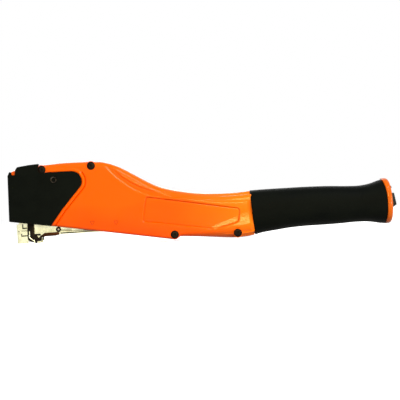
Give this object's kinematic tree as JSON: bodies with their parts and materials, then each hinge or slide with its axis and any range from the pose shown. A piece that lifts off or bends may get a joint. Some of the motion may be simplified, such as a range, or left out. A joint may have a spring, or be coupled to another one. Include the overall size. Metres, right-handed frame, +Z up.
{
  "type": "hammer tacker",
  "caption": "Hammer tacker: a long handle with a rubber grip and a weighted head whose sprung magazine swings up to drive a staple.",
  "frame": {"origin": "centre of the staple outlet on the nose's work face", "axes": "+X along the tool to the handle's butt, +Z up from the work face, +Y to the tool's right side; the magazine is level"},
  "size_m": [0.349, 0.036, 0.0761],
  "materials": {
    "body_plastic": "gloss, moulded",
    "cap_plastic": "gloss, moulded",
    "guard_paint": "matt black powder coat on bent steel",
    "black_steel": "black oxide",
    "plated_steel": "zinc plated",
    "hard_steel": "ground",
    "weight_iron": "as cast",
    "spring_steel": "drawn wire",
    "grip_rubber": "matt, lightly grained",
    "bumper_rubber": "matt",
    "door_plastic": "moulded"
  },
  "bodies": {
    "root": {"left_shell": "body_plastic", "right_shell": "body_plastic", "head_guard": "guard_paint", "head_rivet": "black_steel", "stop_pin": "black_steel", "body_screws": "black_steel", "body_nuts": "black_steel", "hammer_block": "weight_iron", "driver_pin": "hard_steel", "bumper": "bumper_rubber", "pivot_pin": "hard_steel", "pivot_washers": "plated_steel", "grip_sleeve": "grip_rubber", "end_cap": "cap_plastic", "door_pin": "black_steel", "return_spring": "spring_steel"},
    "magazine": {"magazine_frame": "plated_steel", "nose_plate": "plated_steel", "nose_rivets": "plated_steel", "catch_studs": "plated_steel", "locating_studs": "black_steel", "spring_seat": "plated_steel", "tray_hinge_pin": "plated_steel"},
    "tray": {"staple_tray": "plated_steel", "staple_rail": "hard_steel", "pusher_rod": "hard_steel", "rod_bracket": "hard_steel", "latch_pin": "plated_steel", "latch_spring": "spring_steel", "pusher_spring": "spring_steel"},
    "latch": {"latch": "black_steel"},
    "pusher": {"pusher": "hard_steel"},
    "driver": {"driver_blade": "hard_steel"},
    "door": {"storage_door": "door_plastic"}
  },
  "joints": [
    {"name": "magazine_swing", "type": "hinge", "parent": "root", "child": "magazine", "pos_m": [0.103, 0, 0.011], "axis": [0, 1, 0], "range_deg": [0, 10.1], "stiffness_Nm_per_rad": 16, "springref_deg": -5.39, "deforming": ["return_spring"]},
    {"name": "driver_slide", "type": "slide", "parent": "magazine", "child": "driver", "axis": [0, 0, -1], "range_m": [0, 0.01713]},
    {"name": "tray_swing", "type": "hinge", "parent": "magazine", "child": "tray", "pos_m": [0.09, 0, 0.0105], "axis": [0, -1, 0], "range_deg": [0, 8.5], "stiffness_Nm_per_rad": 1, "springref_deg": -14.32},
    {"name": "latch_turn", "type": "hinge", "parent": "tray", "child": "latch", "pos_m": [0.0155, 0, 0.0035], "axis": [0, 1, 0], "range_deg": [0, 70], "deforming": ["latch_spring"]},
    {"name": "pusher_slide", "type": "slide", "parent": "tray", "child": "pusher", "axis": [1, 0, 0], "range_m": [0, 0.056], "stiffness_N_per_m": 60, "springref_m": -0.05, "deforming": ["pusher_spring"]},
    {"name": "door_swing", "type": "hinge", "parent": "root", "child": "door", "pos_m": [0.3343, 0, 0.0316], "axis": [0, -1, 0], "range_deg": [0, 95]}
  ],
  "couplings": [
    {"joint": "driver_slide", "follows": "magazine_swing", "m_per_rad": 0.0971},
    {"joint": "latch_turn", "follows": "tray_swing", "ratio": 8.2}
  ]
}
